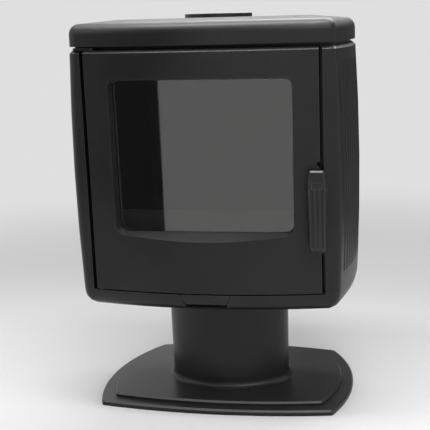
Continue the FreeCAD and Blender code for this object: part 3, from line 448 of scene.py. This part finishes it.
def new_piece(name, mesh, body, slot, *nodes, smooth):
    """A mesh that rides on a body and stands for CAD nodes."""
    piece = bpy.data.objects.new(name, mesh)
    bpy.context.collection.objects.link(piece)
    for face in mesh.polygons:
        face.use_smooth = smooth
    mesh.materials.clear()
    mesh.materials.append(MATERIALS[slot])
    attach(piece, body)
    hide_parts(*nodes)


def even_mesh(node, cell):
    """The surface of a CAD node as an even net of small faces."""
    source = frame["nodes"][node].copy()
    bpy.context.collection.objects.link(source)
    remesh = source.modifiers.new("even", "REMESH")
    remesh.mode = "VOXEL"
    remesh.voxel_size = cell
    bpy.context.view_layer.update()
    made = source.evaluated_get(bpy.context.evaluated_depsgraph_get())
    mesh = bpy.data.meshes.new_from_object(made)
    bpy.data.objects.remove(source)
    return mesh


def braided(node, body, cell):
    """The ring of a seal with its slanting strands, cut into the ring that the CAD node fills."""
    mesh = even_mesh(node, cell)
    outward = [vertex.normal.copy() for vertex in mesh.vertices]
    for vertex, normal in zip(mesh.vertices, outward):
        x, y, z = vertex.co
        turn = 2 * math.pi * (x + z + STRAND_SLANT * y) / STRAND_PITCH
        back = 2 * math.pi * (x + z - STRAND_SLANT * y) / STRAND_PITCH
        depth = STRAND_DEPTH * (1 - 0.5 * (math.sin(turn) * math.sin(back) + 1))
        vertex.co -= normal * depth
    new_piece(node + "_braid", mesh, body, "rope_seal", node, smooth=True)


def islands(node):
    """Lowest and highest corner of each loose piece of a CAD node."""
    work = bmesh.new()
    work.from_mesh(frame["nodes"][node].data)
    bmesh.ops.remove_doubles(work, verts=work.verts, dist=WELD_REACH)
    left = set(work.verts)
    found = []
    while left:
        reached = [left.pop()]
        for vertex in reached:
            for edge in vertex.link_edges:
                other = edge.other_vert(vertex)
                if other in left:
                    left.remove(other)
                    reached.append(other)
        low = Vector(min(v.co[k] for v in reached) for k in range(3))
        high = Vector(max(v.co[k] for v in reached) for k in range(3))
        found.append((low, high))
    work.free()
    return found


def hexagon(angle):
    """How far out the edge of a hexagon lies in that direction, with its corners at 1."""
    sector = math.pi / 3
    return math.cos(sector / 2) / math.cos(angle % sector - sector / 2)


def screw_rings(radius, reach):
    """Radius, level and shape of each ring of a screw, from the end of its shank to its socket."""
    height = HEAD_HEIGHT_SHARE * radius
    shank = SHANK_SHARE * radius
    rings = [(shank, -reach, False), (shank, reach - height, False)]
    for width_share, depth_share, six in HEAD_RING_SHARES:
        rings.append((width_share * radius, reach - depth_share * height, six))
    return rings


def socket_screws(node, body, axis):
    """Round screw heads with a hexagon socket, and their shanks, where the CAD node has plain ones."""
    work = bmesh.new()
    axis = Vector(axis)
    turn = axis.to_track_quat("Z", "Y").to_matrix()
    for low, high in islands(node):
        middle = (low + high) / 2
        half = (high - low) / 2
        reach = abs(half.dot(axis))
        radius = max(half - Vector(abs(c) for c in axis) * reach)
        loops = []
        for size, level, six in screw_rings(radius, reach):
            loop = []
            for k in range(SCREW_STEPS):
                angle = 2 * math.pi * k / SCREW_STEPS
                out = size * hexagon(angle) if six else size
                local = Vector((out * math.cos(angle), out * math.sin(angle), level))
                loop.append(work.verts.new(middle + turn @ local))
            loops.append(loop)
        for a, b in zip(loops, loops[1:]):
            for k in range(SCREW_STEPS):
                n = (k + 1) % SCREW_STEPS
                work.faces.new((a[k], a[n], b[n], b[k]))
        work.faces.new(reversed(loops[0]))
        work.faces.new(loops[-1])
    mesh = bpy.data.meshes.new(node + "_socket")
    work.to_mesh(mesh)
    work.free()
    new_piece(node + "_socket", mesh, body, "steel", node, smooth=False)


# Floor, light and camera

def seen_directly(tree):
    """1 for camera, mirror and see-through rays, 0 for the light that the surface sends on."""
    path = tree.nodes.new("ShaderNodeLightPath")
    shown = path.outputs["Is Camera Ray"]
    for ray in ("Is Glossy Ray", "Is Transmission Ray"):
        shown = combine(tree, "MAXIMUM", shown, path.outputs[ray])
    return shown


def within_arc(tree, coords, centre, radius):
    """1 inside a circle on the floor, 0 outside."""
    reach = add(tree, "ShaderNodeVectorMath", operation="DISTANCE")
    tree.links.new(coords, reach.inputs[0])
    reach.inputs[1].default_value = centre
    within = add(tree, "ShaderNodeMath", operation="LESS_THAN")
    tree.links.new(reach.outputs["Value"], within.inputs[0])
    within.inputs[1].default_value = radius - FOOT_INSET
    return within.outputs["Value"]


def under_foot(tree, coords):
    """1 under the base plate, where its four arcs overlap, 0 on the rest of the floor."""
    inside, *others = [within_arc(tree, coords, centre, radius) for centre, radius in FOOT_ARCS]
    for other in others:
        inside = combine(tree, "MULTIPLY", inside, other)
    return inside


def floor():
    """A pale floor that takes the shadow, fades into the backdrop and is open from below."""
    bpy.ops.mesh.primitive_plane_add(size=2 * FLOOR_HALF, location=(0, 0, cad_low.z - FLOOR_DROP))
    plane = bpy.context.object
    plane.name = "floor"
    mat, tree, shader = new_material("floor_pale")
    shader.inputs["Base Color"].default_value = FLOOR_GREY
    shader.inputs["Specular IOR Level"].default_value = 0
    coords = object_coords(tree)
    reach = add(tree, "ShaderNodeVectorMath", operation="LENGTH")
    tree.links.new(coords, reach.inputs[0])
    near, far = FLOOR_FADE
    fade = mapped(tree, reach.outputs["Value"], start=near, stop=far, kind="SMOOTHSTEP")
    faded = combine(tree, "MULTIPLY", fade, seen_directly(tree))
    glow = add(tree, "ShaderNodeEmission", Strength=BACKDROP)
    shown = mix_shaders(tree, faded, shader.outputs["BSDF"], glow.outputs["Emission"])
    from_below = tree.nodes.new("ShaderNodeNewGeometry").outputs["Backfacing"]
    opening = combine(tree, "MAXIMUM", under_foot(tree, coords), from_below)
    clear = tree.nodes.new("ShaderNodeBsdfTransparent")
    open_floor = mix_shaders(tree, opening, shown, clear.outputs["BSDF"])
    tree.links.new(open_floor, tree.nodes["Material Output"].inputs["Surface"])
    plane.data.materials.append(mat)


def screen(name, left, right, depth, top, level):
    """An upright grey screen that shows only in mirrored light and darkens the sheen of one side."""
    corners = ((left, depth, 0), (right, depth, 0), (right, depth, top), (left, depth, top))
    mesh = bpy.data.meshes.new(name)
    mesh.from_pydata(corners, (), ((0, 1, 2, 3),))
    made = bpy.data.objects.new(name, mesh)
    bpy.context.collection.objects.link(made)
    mat, tree, shader = new_material(name)
    tree.nodes.remove(shader)
    glow = add(tree, "ShaderNodeEmission", Strength=level)
    clear = tree.nodes.new("ShaderNodeBsdfTransparent")
    mirrored = tree.nodes.new("ShaderNodeLightPath").outputs["Glossy Depth"]
    shown = mix_shaders(tree, mirrored, clear.outputs["BSDF"], glow.outputs["Emission"])
    tree.links.new(shown, tree.nodes["Material Output"].inputs["Surface"])
    mesh.materials.append(mat)
    made.visible_camera = False
    made.visible_diffuse = False
    made.visible_shadow = False


def ceiling(tree):
    """Strength of the studio as gloss shows it: the backdrop all round, brighter overhead."""
    direction = tree.nodes.new("ShaderNodeTexCoord").outputs["Generated"]
    start, stop = CEILING_RISE
    overhead = mapped(tree, upward(tree, direction), low=BACKDROP, high=CEILING,
                      start=start, stop=stop, kind="SMOOTHSTEP")
    level = add(tree, "ShaderNodeMapRange", To_Min=BACKDROP)
    tree.links.new(overhead, level.inputs["To Max"])
    tree.links.new(tree.nodes.new("ShaderNodeLightPath").outputs["Is Glossy Ray"], level.inputs["Value"])
    return level.outputs["Result"]


def world():
    """Soft light from all round, seen as a pale backdrop."""
    made = bpy.data.worlds.new("studio")
    made.use_nodes = True
    tree = made.node_tree
    soft = tree.nodes["Background"]
    soft.inputs["Color"].default_value = WHITE
    soft.inputs["Strength"].default_value = WORLD_LIGHT
    seen = add(tree, "ShaderNodeBackground", Color=WHITE)
    tree.links.new(ceiling(tree), seen.inputs["Strength"])
    shown = mix_shaders(tree, seen_directly(tree), soft.outputs["Background"], seen.outputs["Background"])
    tree.links.new(shown, tree.nodes["World Output"].inputs["Surface"])
    bpy.context.scene.world = made


def lamp(name, place, aim, size, watts, beam):
    """A soft rectangular lamp that faces a point."""
    data = bpy.data.lights.new(name, "AREA")
    data.shape = "RECTANGLE"
    data.size, data.size_y = size
    data.energy = watts
    data.spread = math.radians(beam)
    made = bpy.data.objects.new(name, data)
    bpy.context.collection.objects.link(made)
    made.location = place
    made.rotation_euler = (Vector(aim) - Vector(place)).to_track_quat("-Z", "Y").to_euler()
    made.visible_camera = False
    made.visible_transmission = False


def camera():
    """The camera at the photograph's viewing angle."""
    data = bpy.data.cameras.new("photo_view")
    data.sensor_width = SENSOR
    data.lens = FOCAL_PIXELS / PHOTO_WIDTH * SENSOR
    data.shift_x = -OFF_CENTRE_PIXELS / PHOTO_WIDTH
    made = bpy.data.objects.new("photo_view", data)
    bpy.context.collection.objects.link(made)
    ahead = Vector((-math.sin(TURN), math.cos(TURN), 0))
    right = Vector((math.cos(TURN), math.sin(TURN), 0))
    up = Vector((0, 0, 1))
    look = ahead * math.cos(TILT) - up * math.sin(TILT)
    top = up * math.cos(TILT) + ahead * math.sin(TILT)
    side = right * math.cos(ROLL) + top * math.sin(ROLL)
    crown = top * math.cos(ROLL) - right * math.sin(ROLL)
    turn = Matrix((side, crown, -look)).transposed().to_4x4()
    made.matrix_world = Matrix.Translation(EYE) @ turn
    bpy.context.scene.camera = made


paint_frame()
soften_edges()
for seal in SEALS:
    braided(*seal)
for screws in SCREWS:
    socket_screws(*screws)
floor()
world()
for settings in SCREENS:
    screen(*settings)
for settings in LAMPS:
    lamp(*settings)
camera()
bpy.context.scene.view_settings.view_transform = "Standard"
